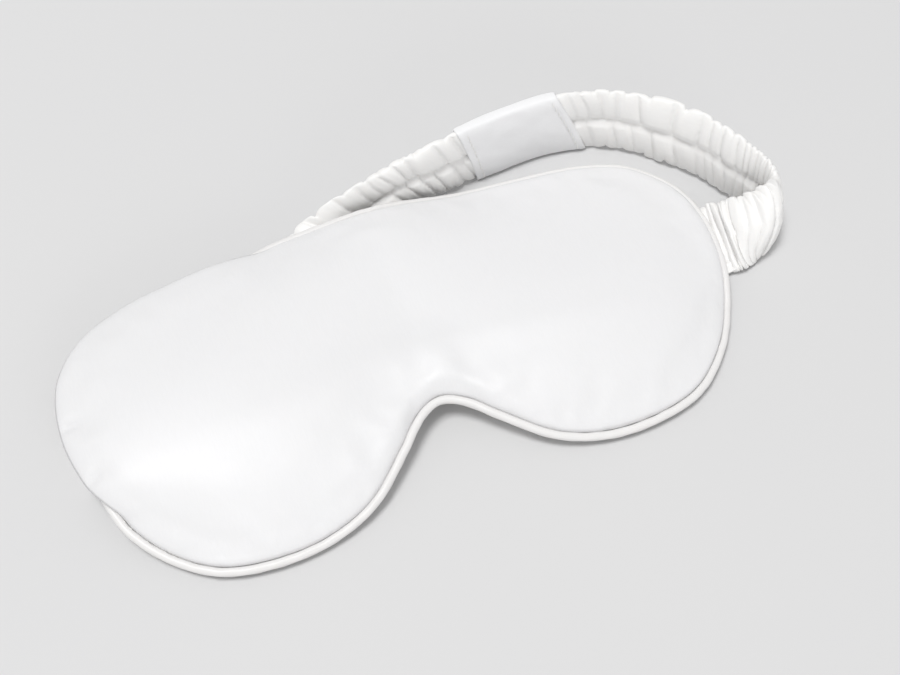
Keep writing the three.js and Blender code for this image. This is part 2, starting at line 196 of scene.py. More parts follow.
def underside(x, y):
    """How far the tucked strap, the nose arch and the right strap end hold the mask up."""
    over_strap = STRAP_LIFT * (1 - smoothstep(tucked_strap_distance(x, y), 13, 48))
    arch = np.maximum(np.exp(-((x / BRIDGE_HALF) ** 2)) - 0.06, 0)
    over_nose = BRIDGE_LIFT * arch * (1 - 0.25 * smoothstep(y, -20, 45))
    right_end = 2.2 * smoothstep(x, 88, 102) * (1 - smoothstep(np.abs(y - 1), 12, 34))
    either = (over_strap ** 3 + over_nose ** 3) ** (1 / 3)
    return either + 0.25 * np.minimum(over_strap, over_nose) + right_end


def seam_height(x, y, rim):
    """Height of the surface between front and back. rim is 1 at the panels' rim and 0 well inside it."""
    return underside(x, y) + BACK_PUFF + (RIM_HALF + RIM_RISE - BACK_PUFF) * rim


def reach_of(xy):
    """Share of the way from the mask's middle to the panels' rim."""
    away = xy - MIDDLE
    rim = OUTLINE + OUTLINE_IN * SKIN_INSET - MIDDLE
    angle = np.arctan2(rim[:, 1], rim[:, 0])
    order = np.argsort(angle)
    bearing = np.arctan2(away[:, 1], away[:, 0])
    length = np.interp(bearing, angle[order], np.linalg.norm(rim, axis=1)[order], period=2 * math.pi)
    return np.linalg.norm(away, axis=1) / length


# ---------------------------------------------------------------- mesh helpers
def make_object(name, vertices, faces):
    """A smooth-shaded mesh object from points in mask millimetres."""
    mesh = bpy.data.meshes.new(name)
    places = (np.asarray(vertices, float) + SHIFT) * MM
    mesh.from_pydata(places.tolist(), [], faces)
    mesh.validate()
    mesh.update()
    mesh.polygons.foreach_set("use_smooth", [True] * len(mesh.polygons))
    obj = bpy.data.objects.new(name, mesh)
    bpy.context.scene.collection.objects.link(obj)
    return obj


def grid_faces(rows, columns, close_rows=False, close_columns=False):
    """Quads between neighbouring points of a grid, whose last row or column may join the first."""
    faces = []
    for r in range(rows if close_rows else rows - 1):
        for c in range(columns if close_columns else columns - 1):
            a = r * columns + c
            b = r * columns + (c + 1) % columns
            d = ((r + 1) % rows) * columns + c
            e = ((r + 1) % rows) * columns + (c + 1) % columns
            faces.append((a, b, e, d))
    return faces


# ---------------------------------------------------------------- materials
def new_material(name):
    material = bpy.data.materials.new(name)
    material.use_nodes = True
    tree = material.node_tree
    return material, tree, tree.nodes["Principled BSDF"]


def add_node(tree, kind, **values):
    node = tree.nodes.new(kind)
    for key, value in values.items():
        setattr(node, key, value)
    return node


def satin_material(name, color, roughness, weave_scale, weave_strength,
                   slub_axis=(1.0, 0.12, 0.3), glow=0.08):
    """Silk satin: long floats that run one way, faint slubs, a soft sheen and fine creases."""
    material, tree, shader = new_material(name)
    links = tree.links
    place = add_node(tree, "ShaderNodeTexCoord")
    # the weave: noise drawn out along the floats, with wave bands across it
    stretch = add_node(tree, "ShaderNodeMapping")
    stretch.inputs["Scale"].default_value = tuple(weave_scale * s for s in slub_axis)
    links.new(place.outputs["Object"], stretch.inputs["Vector"])
    threads = add_node(tree, "ShaderNodeTexNoise")
    threads.inputs["Scale"].default_value = 1.0
    threads.inputs["Detail"].default_value = 4.0
    threads.inputs["Roughness"].default_value = 0.6
    links.new(stretch.outputs["Vector"], threads.inputs["Vector"])
    floats = add_node(tree, "ShaderNodeTexWave", wave_type="BANDS", bands_direction="Y")
    floats.inputs["Scale"].default_value = weave_scale * 0.9
    floats.inputs["Distortion"].default_value = 1.2
    floats.inputs["Detail"].default_value = 2.0
    links.new(place.outputs["Object"], floats.inputs["Vector"])
    weave = add_node(tree, "ShaderNodeMath", operation="MULTIPLY_ADD")
    weave.inputs[1].default_value = 0.35
    links.new(floats.outputs["Fac"], weave.inputs[0])
    links.new(threads.outputs["Fac"], weave.inputs[2])
    # broad soft creases that only shade the surface
    creases = add_node(tree, "ShaderNodeTexNoise")
    creases.inputs["Scale"].default_value = 55.0
    creases.inputs["Detail"].default_value = 3.0
    links.new(place.outputs["Object"], creases.inputs["Vector"])
    fine = add_node(tree, "ShaderNodeBump")
    fine.inputs["Strength"].default_value = weave_strength
    fine.inputs["Distance"].default_value = 0.00006
    links.new(weave.outputs[0], fine.inputs["Height"])
    broad = add_node(tree, "ShaderNodeBump")
    broad.inputs["Strength"].default_value = 0.08
    broad.inputs["Distance"].default_value = 0.0004
    links.new(creases.outputs["Fac"], broad.inputs["Height"])
    links.new(fine.outputs["Normal"], broad.inputs["Normal"])
    links.new(broad.outputs["Normal"], shader.inputs["Normal"])
    # colour and gloss vary a little with the slubs
    tint = add_node(tree, "ShaderNodeValToRGB")
    tint.color_ramp.elements[0].position = 0.35
    tint.color_ramp.elements[0].color = tuple(c * 0.985 for c in color) + (1,)
    tint.color_ramp.elements[1].position = 0.65
    tint.color_ramp.elements[1].color = tuple(color) + (1,)
    links.new(threads.outputs["Fac"], tint.inputs["Fac"])
    links.new(tint.outputs["Color"], shader.inputs["Base Color"])
    gloss = add_node(tree, "ShaderNodeMapRange")
    gloss.inputs["To Min"].default_value = roughness - 0.05
    gloss.inputs["To Max"].default_value = roughness + 0.07
    links.new(creases.outputs["Fac"], gloss.inputs["Value"])
    links.new(gloss.outputs["Result"], shader.inputs["Roughness"])
    shader.inputs["Specular IOR Level"].default_value = 0.35
    shader.inputs["Anisotropic"].default_value = 0.35
    shader.inputs["Sheen Weight"].default_value = 0.1
    shader.inputs["Sheen Roughness"].default_value = 0.4
    shader.inputs["Subsurface Weight"].default_value = glow
    shader.inputs["Subsurface Radius"].default_value = (1.0, 0.95, 0.9)
    shader.inputs["Subsurface Scale"].default_value = 0.0015
    return material


def fibre_material(name, dark, light, scale, roughness, bump=0.5):
    """Matt fibres: wadding, blackout cloth, cotton cord, elastic or thread."""
    material, tree, shader = new_material(name)
    links = tree.links
    place = add_node(tree, "ShaderNodeTexCoord")
    fibres = add_node(tree, "ShaderNodeTexNoise")
    fibres.inputs["Scale"].default_value = scale
    fibres.inputs["Detail"].default_value = 6.0
    fibres.inputs["Roughness"].default_value = 0.7
    links.new(place.outputs["Object"], fibres.inputs["Vector"])
    ribs = add_node(tree, "ShaderNodeTexWave", wave_type="BANDS", bands_direction="DIAGONAL")
    ribs.inputs["Scale"].default_value = scale * 0.8
    ribs.inputs["Distortion"].default_value = 2.0
    links.new(place.outputs["Object"], ribs.inputs["Vector"])
    blend = add_node(tree, "ShaderNodeMath", operation="MULTIPLY_ADD")
    blend.inputs[1].default_value = 0.4
    links.new(ribs.outputs["Fac"], blend.inputs[0])
    links.new(fibres.outputs["Fac"], blend.inputs[2])
    tint = add_node(tree, "ShaderNodeValToRGB")
    tint.color_ramp.elements[0].position = 0.3
    tint.color_ramp.elements[0].color = tuple(dark) + (1,)
    tint.color_ramp.elements[1].position = 0.8
    tint.color_ramp.elements[1].color = tuple(light) + (1,)
    links.new(blend.outputs[0], tint.inputs["Fac"])
    links.new(tint.outputs["Color"], shader.inputs["Base Color"])
    relief = add_node(tree, "ShaderNodeBump")
    relief.inputs["Strength"].default_value = bump
    relief.inputs["Distance"].default_value = 0.0002
    links.new(blend.outputs[0], relief.inputs["Height"])
    links.new(relief.outputs["Normal"], shader.inputs["Normal"])
    shader.inputs["Roughness"].default_value = roughness
    shader.inputs["Sheen Weight"].default_value = 0.3
    return material


FRONT_SATIN = satin_material("front_satin", (0.785, 0.783, 0.79), 0.42, 2200, 0.14)
BACK_SATIN = satin_material("back_satin", (0.87, 0.86, 0.85), 0.42, 2200, 0.2)
PIPING_SATIN = satin_material("piping_satin", (0.79, 0.78, 0.772), 0.33, 1600, 0.35, (0.7, 0.7, 0.4))
STRAP_SATIN = satin_material("strap_satin", (0.885, 0.878, 0.866), 0.38, 1800, 0.3,
                             (0.2, 0.2, 1.0), 0.15)
LABEL_SATIN = satin_material("label_satin", (0.88, 0.88, 0.888), 0.4, 2000, 0.35,
                             (0.3, 0.3, 1.4), 0.02)
WADDING = fibre_material("wadding", (0.75, 0.75, 0.74), (0.93, 0.93, 0.92), 700, 0.95)
BLACKOUT = fibre_material("blackout_cloth", (0.012, 0.012, 0.014), (0.035, 0.035, 0.04), 1800, 0.9)
COTTON = fibre_material("cotton_cord", (0.66, 0.61, 0.52), (0.86, 0.83, 0.76), 1500, 0.9)
ELASTIC = fibre_material("woven_elastic", (0.7, 0.69, 0.66), (0.9, 0.89, 0.86), 1600, 0.85)
THREAD = fibre_material("sewing_thread", (0.74, 0.72, 0.69), (0.9, 0.89, 0.87), 2600, 0.55, 0.3)


def finish_piece(obj, material, body=None, replaced=()):
    """Gives a piece its material, the body it rides and the CAD nodes it stands for."""
    obj.data.materials.clear()
    obj.data.materials.append(material)
    if body:
        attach(obj, body)
    if replaced:
        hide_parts(*replaced)


# ---------------------------------------------------------------- mask layers
RIM_GAPS = [0.5, 1.1, 1.9, 2.9, 4.1]    # rows of points that follow the rim, in from it


def layer_plan(inset, spacing):
    """Points spread inside the outline at an inset, triangles between them, and which are its rim."""
    step = max(int(round(spacing / np.linalg.norm(OUTLINE[1] - OUTLINE[0]) / 1.35)), 1)
    rim = (OUTLINE + OUTLINE_IN * inset)[::step]
    rings = [(OUTLINE + OUTLINE_IN * (inset + gap))[::step] for gap in RIM_GAPS]
    xs = np.arange(-105, 105, spacing)
    ys = np.arange(-53, 53, spacing * math.sqrt(3) / 2)
    lattice = np.array([(x + (spacing / 2 if j % 2 else 0), y) for j, y in enumerate(ys) for x in xs])
    distance, nearest = edge_distance(lattice)
    inside = ((lattice - OUTLINE[nearest]) * OUTLINE_IN[nearest]).sum(axis=1) > 0
    lattice = lattice[inside & (distance > inset + RIM_GAPS[-1] + spacing * 0.6)]
    points = np.vstack([rim, *rings, lattice])
    loop = list(range(len(rim)))[::-1]
    found, _, faces, _, _, _ = delaunay_2d_cdt([Vector(p) for p in points], [], [loop], 1, 1e-7)
    xy = np.array([(p.x, p.y) for p in found])
    triangles = []
    for a, b, c in faces:
        turn = np.cross(xy[b] - xy[a], xy[c] - xy[a])
        triangles.append((a, b, c) if turn > 0 else (a, c, b))
    rim_gap, _ = edge_distance(xy)
    return xy, triangles, rim_gap < inset + 1e-3


def closed_layer(name, inset, spacing, top, bottom, rim_share=0.5, spread=None):
    """A closed body between two heights, which meet at its rim, rim_share of the way up."""
    xy, triangles, on_rim = layer_plan(inset, spacing)
    upper, lower = top(xy), bottom(xy)
    upper = np.where(on_rim, lower + (upper - lower) * rim_share, upper)
    moved = spread(xy) if spread else xy
    vertices = [(*p, z) for p, z in zip(moved, upper)]
    twin = np.arange(len(xy))
    inner = np.flatnonzero(~on_rim)
    twin[inner] = len(xy) + np.arange(len(inner))
    vertices += [(*xy[i], lower[i]) for i in inner]
    faces = list(triangles) + [tuple(int(twin[k]) for k in (a, c, b)) for a, b, c in triangles]
    obj = make_object(name, vertices, faces)
    fixed = obj.vertex_groups.new(name="fixed")
    rim_and_back = [int(k) for k in np.flatnonzero(on_rim)] + list(range(len(xy), len(vertices)))
    fixed.add(rim_and_back, 1.0, "REPLACE")
    return obj


def swell(distance, width):
    """0 at the rim and 1 from width inwards, rising steeply like stuffed cloth."""
    power = 2.2
    t = np.clip(distance / width, 0, 1)
    return (1 - (1 - t) ** power) ** (1 / power)


def ridge(xy, path, width, height):
    """A long soft fold: highest along the path, fading at both its ends."""
    shares = np.linspace(0, 1, 80)
    line = catmull_rom(path, shares)
    gaps = np.linalg.norm(xy[:, None, :] - line[None, :, :], axis=2)
    fade = smoothstep(shares, -0.1, 0.25) * (1 - smoothstep(shares, 0.55, 1.05))
    return height * (fade[None, :] * np.exp(-((gaps / width) ** 2))).max(axis=1)


# Folds that the nose notch and the strap's ends draw in the front panel: the points along each,
# its half width and its height, which is negative for a furrow.
FRONT_FOLDS = [
    ([(1, -22), (2, -9), (-8, -7), (-32, -11), (-56, -14), (-80, -16)], 7.0, 0.95),
    ([(3, -20), (6, -8), (28, -11), (60, -16), (86, -20)], 4.6, 0.75),
    ([(5, -21), (14, -22), (31, -25), (60, -30)], 4.6, 0.4),
    ([(6, -20), (22, -18), (52, -24)], 4.0, -0.22),
    ([(-6, -20), (-15, -16), (-26, -22)], 5.0, -0.3),
    ([(101, 10), (84, 14)], 2.2, 0.3),
    ([(101, 2), (82, 0)], 2.4, 0.3),
    ([(101, -7), (85, -12)], 2.2, 0.3),
    ([(101, 6), (86, 7)], 1.6, -0.3),
    ([(-101.5, 8), (-94, 7)], 1.5, -2.4),
    ([(-99, -11), (-92.5, -9)], 1.4, -2.2),
]


def bulging(xy):
    """1 along the rim's upper left, where the stuffing rolls out over the piping, 0 elsewhere."""
    _, nearest = edge_distance(xy)
    place = OUTLINE[nearest]
    return smoothstep(-place[:, 0] + 0.9 * place[:, 1], 68, 92)


def front_top(xy):
    """The front cloth's height. Stuffing evens out what lies under it, except close to the rim."""
    x, y = xy[:, 0], xy[:, 1]
    distance, _ = edge_distance(xy)
    rim = smoothstep(reach_of(xy), FLAT_REACH, 1)
    even = STRAP_LIFT * (1 - smoothstep(tucked_strap_distance(x, y), 0, 78))
    even = even + 3.2 * np.exp(-((x / 42) ** 2))
    seam = seam_height(x, y, rim)
    inner = smoothstep(distance, 6, 26)
    seam = seam + (even + BACK_PUFF - seam) * inner
    lobe = np.exp(-(((np.abs(x) - LOBE_X) / 46) ** 2) - ((y - LOBE_Y) / 32) ** 2)
    full = PUFF + LOBE_PUFF * lobe - NOSE_DIP * np.exp(-((x / 18) ** 2))
    folds = sum(ridge(xy, *fold) for fold in FRONT_FOLDS)
    shoulder = (15 + 9 * lobe) * (1 - 0.35 * bulging(xy))
    rise = swell(distance - SKIN_INSET, shoulder)
    drop = ROLLED_DROP * bulging(xy) * (1 - smoothstep(distance, SKIN_INSET, 5))
    return seam + FRONT_T - drop + full * rise + folds * smoothstep(distance, SKIN_INSET, 8)


def roll_out(xy):
    """Points near the rim moved along the panel: where the edge is rolled under, out over the piping."""
    distance, nearest = edge_distance(xy)
    t = (distance - SKIN_INSET) / ROLL_WIDTH
    under = bulging(xy)
    push = -ROLLED_UNDER * under + (0.25 + STUFFING_OUT * under) * smoothstep(t, 0, 0.09)
    push = push * (1 - smoothstep(t, 0.1, 1.0))
    return xy - OUTLINE_IN[nearest] * push[:, None]


def roll_in(xy):
    """Points near the back panel's rim, moved in with the rolled-under edge."""
    distance, nearest = edge_distance(xy)
    pull = ROLLED_UNDER * bulging(xy) * (1 - smoothstep(distance, SKIN_INSET, ROLL_WIDTH))
    return xy + OUTLINE_IN[nearest] * pull[:, None]


def front_floor(xy):
    """Where the front panel and its padding end below."""
    return seam_height(xy[:, 0], xy[:, 1], smoothstep(reach_of(xy), FLAT_REACH, 1)) + SATIN_T / 2


def back_ceiling(xy):
    """Where the back panel and its padding end above."""
    return front_floor(xy) - SATIN_T


def back_bottom(xy):
    """The back cloth's height: it swells down from its rim."""
    x, y = xy[:, 0], xy[:, 1]
    distance, _ = edge_distance(xy)
    rim = smoothstep(reach_of(xy), FLAT_REACH, 1)
    seam = seam_height(x, y, rim)
    depth = BACK_PUFF + (RIM_HALF - BACK_PUFF) * rim - SATIN_T / 2
    return seam - SATIN_T / 2 - depth * swell(distance - SKIN_INSET, 7)


def smoothed(values, links, rounds):
    """Values averaged over neighbouring vertices, rounds times. links are the mesh's edges."""
    a, b = links[:, 0], links[:, 1]
    count = np.bincount(np.concatenate([a, b]), minlength=len(values))[:, None]
    for _ in range(rounds):
        total = np.zeros_like(values)
        np.add.at(total, a, values[b])
        np.add.at(total, b, values[a])
        values = 0.5 * values + 0.5 * total / np.maximum(count, 1)
    return values


def even_out(obj, rounds):
    """Evens out the cloth's height away from its rim."""
    places = np.array([v.co for v in obj.data.vertices])
    links = np.array([e.vertices for e in obj.data.edges])
    distance, _ = edge_distance(places[:, :2] / MM - SHIFT[:2])
    share = smoothstep(distance, 3, 9)[:, None]
    fixed = np.array([bool(v.groups) for v in obj.data.vertices])[:, None]
    soft = smoothed(places[:, 2:], links, rounds)
    places[:, 2:] += (soft - places[:, 2:]) * share * ~fixed
    obj.data.vertices.foreach_set("co", places.ravel())
    obj.data.update()


def settle_cloth(obj, pressure, growth, most):
    """Puffs the cloth out from its sewn rim, and keeps the puckers that form, capped at most metres."""
    before = np.array([v.co for v in obj.data.vertices])
    links = np.array([e.vertices for e in obj.data.edges])
    cloth = obj.modifiers.new("cloth", "CLOTH")
    settings = cloth.settings
    settings.quality = 4
    settings.mass = 0.12
    settings.vertex_group_mass = "fixed"
    settings.pin_stiffness = 1.0
    settings.use_pressure = True
    settings.uniform_pressure_force = pressure
    settings.shrink_min = -growth
    settings.tension_stiffness = 12
    settings.compression_stiffness = 12
    settings.shear_stiffness = 6
    settings.bending_stiffness = 0.02
    settings.effector_weights.gravity = 0
    cloth.collision_settings.use_collision = False
    cloth.collision_settings.use_self_collision = False
    scene = bpy.context.scene
    last = 20
    scene.frame_start, scene.frame_end = 1, last
    cloth.point_cache.frame_start, cloth.point_cache.frame_end = 1, last
    for step in range(1, last + 1):
        scene.frame_set(step)
        bpy.context.view_layer.update()
    puffed = obj.evaluated_get(bpy.context.evaluated_depsgraph_get())
    after = np.array([v.co for v in puffed.data.vertices])
    obj.modifiers.remove(cloth)
    scene.frame_set(1)
    moved = after - before
    broad = smoothed(moved, links, 40)
    distance, _ = edge_distance(before[:, :2] / MM - SHIFT[:2])
    near_rim = 1 - 0.85 * smoothstep(distance, 7, 20)
    moved = smoothed(moved - broad, links, 4) * near_rim[:, None]
    size = np.linalg.norm(moved, axis=1, keepdims=True)
    moved *= np.minimum(1, most / np.maximum(size, 1e-9))
    obj.data.vertices.foreach_set("co", (before + moved).ravel())
    obj.data.update()


def make_mask():
    fine, coarse = 1.5, 3.0
    front = closed_layer("front_panel.cloth", SKIN_INSET, fine, front_top, front_floor, 1.0, roll_out)
    back = closed_layer("back_panel.cloth", SKIN_INSET, fine, back_ceiling, back_bottom, 0.3, roll_in)
    even_out(front, 8)
    settle_cloth(front, 4.0, 0.02, 0.0004)
    settle_cloth(back, 3.0, 0.04, 0.0008)
    layers = [
        ("front_padding.fill", 6.5, lambda p: front_top(p) - 1.3, lambda p: front_floor(p) + 0.9,
         WADDING, "wadding"),
        ("blackout_liner.cloth", 6.5, lambda p: front_floor(p) + 0.5, lambda p: front_floor(p) + 0.1,
         BLACKOUT, "blackout_cloth"),
        ("back_padding.fill", 9.5, lambda p: back_ceiling(p) - 0.3, lambda p: back_bottom(p) + 1.0,
         WADDING, "wadding"),
    ]
    for name, inset, top, bottom, material, slot in layers:
        layer = closed_layer(name, inset, coarse, top, bottom)
        finish_piece(layer, material, "mask", [name.split(".")[0]])
    finish_piece(front, FRONT_SATIN, "mask", ["front_panel"])
    finish_piece(back, BACK_SATIN, "mask", ["back_panel"])


# ---------------------------------------------------------------- piping
def ring(name, radius, sides, steps, wrinkle=0.0):
    """A tube that follows the outline, centred where the piping is, with puckers as deep as wrinkle."""
    turns = 74
    pick = (np.arange(steps) * len(OUTLINE) / steps).astype(int)
    under = bulging(OUTLINE[pick])
    centre = OUTLINE[pick] + OUTLINE_IN[pick] * (PIPING_R + ROLLED_UNDER * under)[:, None]
    height = seam_height(*OUTLINE[pick].T, 1.0) - ROLLED_DROP * under
    inward = OUTLINE_IN[pick]
    angles = np.linspace(0, 2 * math.pi, sides, endpoint=False)
    vertices = []
    for k in range(steps):
        for angle in angles:
            size = radius
            if wrinkle:
                bias = k / steps * 2 * math.pi * turns + angle * 1.5
                patch = noise.noise(Vector((k * 0.05, angle, 3.0)))
                size += wrinkle * (math.sin(bias) * (0.5 + patch) + 0.8 * patch)
            spot = centre[k] - inward[k] * size * math.cos(angle)
            vertices.append((*spot, height[k] + size * math.sin(angle)))
    return make_object(name, vertices, grid_faces(steps, sides, True, True))


def stitch_row(name, places, ways, ups, length, radius):
    """One mesh of many short rounded stitches, each lying along its way."""
    sides = 6
    shares = np.array([-0.5, -0.36, 0.0, 0.36, 0.5])
    girth = np.array([0.25, 0.85, 1.0, 0.85, 0.25])
    sink = np.array([-0.9, -0.25, 0.0, -0.25, -0.9]) * radius
    vertices, faces = [], []
    for place, way, up in zip(places, ways, ups):
        side = np.cross(way, up)
        base = len(vertices)
        for share, wide, drop in zip(shares, girth, sink):
            middle = place + way * share * length + up * drop
            for k in range(sides):
                angle = 2 * math.pi * k / sides
                vertices.append(middle + radius * wide * (math.cos(angle) * side + math.sin(angle) * up))
        for r, c in ((r, c) for r in range(len(shares) - 1) for c in range(sides)):
            d = (c + 1) % sides
            faces.append((base + r * sides + c, base + r * sides + d,
                          base + (r + 1) * sides + d, base + (r + 1) * sides + c))
        faces.append(tuple(base + c for c in reversed(range(sides))))
        faces.append(tuple(base + (len(shares) - 1) * sides + c for c in range(sides)))
    return make_object(name, vertices, faces)


def make_piping():
    cover = ring("piping_cover.cloth", PIPING_R, 18, 720, PIPING_WRINKLE)
    finish_piece(cover, PIPING_SATIN, "mask", ["piping_cover"])
    cord = ring("piping_cord.core", CORD_R, 10, 360)
    finish_piece(cord, COTTON, "mask", ["piping_cord"])
    count = 186
    pick = (np.arange(count) * len(OUTLINE) / count).astype(int)
    under = bulging(OUTLINE[pick])
    flat = OUTLINE[pick] + OUTLINE_IN[pick] * (SKIN_INSET - 0.1 + ROLLED_UNDER * under)[:, None]
    height = seam_height(flat[:, 0], flat[:, 1], 1.0) + 0.75 - ROLLED_DROP * under
    places = np.column_stack([flat, height])
    ways = np.column_stack([OUTLINE_WAY[pick], np.zeros(count)])
    ups = np.tile([0.0, 0.0, 1.0], (count, 1))
    seam = stitch_row("edge_seam_thread.stitches", places, ways, ups, 2.2, 0.12)
    finish_piece(seam, THREAD, "mask", ["edge_seam_thread"])


# ---------------------------------------------------------------- the strap's surface
STRAP_CURVES = [[station[k] for station in STRAP_STATIONS] for k in range(3)]


def strap_frame(shares):
    """Near edge, seam, far edge, outward normal and way at each share of the strap's length."""
    shares = np.asarray(shares, float)
    inside = np.clip(shares, 0, 1)
    near, seam, far = (catmull_rom(curve, inside) for curve in STRAP_CURVES)
    step = 0.002
    ahead = catmull_rom(STRAP_CURVES[1], np.clip(inside + step, 0, 1))
    behind = catmull_rom(STRAP_CURVES[1], np.clip(inside - step, 0, 1))
    way = ahead - behind
    way /= np.linalg.norm(way, axis=1, keepdims=True)
    normal = np.cross(way, far - near)
    normal /= np.linalg.norm(normal, axis=1, keepdims=True)
    past = ((shares - inside) * STRAP_RUN)[:, None] * way
    return near + past, seam + past, far + past, normal, way


def run_length():
    """Length of the strap along its centre seam."""
    path = catmull_rom(STRAP_CURVES[1], np.linspace(0, 1, 1200))
    return float(np.linalg.norm(np.diff(path, axis=0), axis=1).sum())


STRAP_RUN = run_length()


def strap_surface(shares, across, lift):
    """Points at shares along and across the strap's middle surface, lift millimetres out from it."""
    near, seam, far, normal, _ = strap_frame(shares)
    c = np.asarray(across, float)[:, None]
    lower = near + (seam - near) * np.minimum(c * 2, 1)
    place = lower + (far - lower) * np.maximum(c * 2 - 1, 0)
    place = np.where(c < 0, near + (seam - near) * c * 2, place)
    place = np.where(c > 1, far + (far - seam) * (c - 1) * 2, place)
    return place + normal * np.asarray(lift, float)[:, None]


def crease_places(seed):
    """Where the creases lie along a channel, unevenly spaced, in millimetres of the strap's run."""
    random = np.random.default_rng(seed)
    gaps = random.choice([3.2, 4.6, 6.4, 9.0], size=120, p=[0.28, 0.3, 0.24, 0.18])
    gaps = gaps * random.uniform(0.85, 1.15, size=120)
    places = -15 + np.cumsum(gaps)
    return places, random.uniform(-1, 1, size=120), random.uniform(0.5, 1.0, size=120)


# Each channel has creases of its own: lower and upper inside, then lower and upper outside.
CREASES = {seed: crease_places(seed) for seed in range(4)}
SLANT = 7.0             # how far the creases lean over the strap's width


def creased(run, across, seed):
    """Puffed panels between straight creases across the channel: 0 in a crease, up to 1 on a panel."""
    places, tilts, fullness = CREASES[seed]
    index = np.clip(np.searchsorted(places, run) - 1, 0, len(places) - 2)
    local = across - 0.5
    start = places[index] + tilts[index] * 2.2 * local
    end = places[index + 1] + tilts[index + 1] * 2.2 * local
    t = np.clip((run - start) / np.maximum(end - start, 0.5), 0, 1)
    round_top = 1 - np.abs(2 * t - 1) ** 3.6
    return round_top ** 0.8 * fullness[index] * np.clip((end - start) / 6.0, 0.45, 1.1)


def gathers(shares, across, face):
    """How far the gathered satin stands off the strap, in millimetres."""
    run = shares * STRAP_RUN
    one_channel = shares < JOIN
    waver = np.array([noise.noise(Vector((r * 0.11, c * 2.4, f * 3.0)))
                      for r, c, f in zip(run, across, face)])
    stretch = np.where(one_channel, 0.62, 1.0)
    join = JOIN * STRAP_RUN
    place = join + (run - join) * stretch - SLANT * (across - 0.5) + 0.7 * waver
    height = np.zeros(len(run))
    lower = (across < 0.5) | one_channel
    for seed in range(4):
        upper = seed % 2 == 1
        outer = seed >= 2
        pick = ((face > 0) == outer) & (~lower if upper else lower)
        height[pick] = creased(place[pick], across[pick], seed)
    fine = np.array([noise.fractal(Vector((r * 0.75, c * 1.3, f * 7.0)), 1.0, 2.0, 2)
                     for r, c, f in zip(place, across, face)])
    deep = smoothstep(shares, LABEL_TO - 0.01, LABEL_TO + 0.04)
    pucker = PUCKER + TURN_PUCKER * one_channel + DEEP_PUCKER * deep
    return pucker * height - SINK + 0.14 * fine


def strap_section(shares, sides):
    """The closed outline of the gathered strap at each share: an array of shares x sides x 3."""
    turn = np.linspace(0, 2 * math.pi, sides, endpoint=False)
    grid_s = np.repeat(shares, sides)
    angle = np.tile(turn, len(shares))
    across = 0.5 - 0.5 * np.sign(np.cos(angle)) * np.abs(np.cos(angle)) ** 0.8
    face = np.where(np.sin(angle) >= 0, 1.0, -1.0)
    edge = np.abs(np.sin(angle)) ** 0.5
    open_turn = 1 - smoothstep(grid_s, 0.1, 0.24)
    seam_pinch = np.exp(-(((across - 0.5) / 0.028) ** 2)) * (1 - 0.8 * open_turn)
    channel = np.clip(np.abs(across - 0.5) * 2, 0, 1)
    belly = np.sin(math.pi * channel) ** 0.5 * (1 - open_turn) + open_turn * np.sqrt(1 - channel ** 2)
    puff = gathers(grid_s, across, face)
    press = 0.5 * flatness(grid_s)
    round_turn = open_turn * smoothstep(grid_s, 0.0, 0.05)
    bulge = round_turn * np.where(face > 0, 2.6, 0.8) * np.sqrt(1 - channel ** 2)
    stand = (STAND + BELLY * belly * (1 - press)) * (1 - 0.4 * seam_pinch) + bulge
    lift = face * edge * np.maximum(stand + puff * (1 - 0.6 * seam_pinch) * (1 - press), 0.3)
    run = grid_s * STRAP_RUN
    flat_run = np.zeros(len(run))
    nick = np.where(across < 0.5, creased(run, flat_run, 0), creased(run, flat_run + 1, 1))
    narrow = 1 - 0.35 * smoothstep(grid_s, 0.93, 1)
    reach = (across - 0.5) * (1 + (0.11 * nick - 0.085) * channel) * narrow + 0.5
    points = strap_surface(grid_s, reach, lift)
    return points.reshape(len(shares), sides, 3)


def flatness(shares):
    """1 where the strap lies pressed under the mask, 0 where it is free."""
    return smoothstep(shares, 0.64, 0.78)


def strap_shares(start, end, spacing=0.42):
    """Shares of the strap's length between start and end, spacing millimetres apart."""
    return np.linspace(start, end, int((end - start) * STRAP_RUN / spacing))


def closed_tube(name, sections):
    """A tube through sections, an array of places x sides x 3, with a fan of faces over each end."""
    count, sides = sections.shape[:2]
    vertices = [tuple(p) for p in sections.reshape(-1, 3)]
    faces = [tuple(reversed(f)) for f in grid_faces(count, sides, False, True)]
    for r, at_start in ((0, True), (count - 1, False)):
        vertices.append(tuple(sections[r].mean(axis=0)))
        middle = len(vertices) - 1
        for c in range(sides):
            a, b = r * sides + c, r * sides + (c + 1) % sides
            faces.append((middle, a, b) if not at_start else (middle, b, a))
    return make_object(name, vertices, faces)


def elastic_section(shares, sides=40):
    """The closed outline of the flat elastic at each share, ribbed across its width."""
    turn = np.linspace(0, 2 * math.pi, sides, endpoint=False)
    angle = np.tile(turn, len(shares))
    across = 0.5 - ELASTIC_HALF * np.sign(np.cos(angle)) * np.abs(np.cos(angle)) ** 0.8
    grooves = ELASTIC_RIB * np.sin(across * ELASTIC_RIBS * math.pi) ** 2
    thick = np.maximum(ELASTIC_T / 2 * np.abs(np.sin(angle)) ** 0.3 - grooves, 0)
    points = strap_surface(np.repeat(shares, sides), across, np.sign(np.sin(angle)) * thick)
    return points.reshape(len(shares), sides, 3)


def bend_with(obj, material, replaced):
    """Gives obj its material, hides the CAD nodes it stands for and bakes its placement into its mesh."""
    finish_piece(obj, material, None, replaced)
    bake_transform(obj)


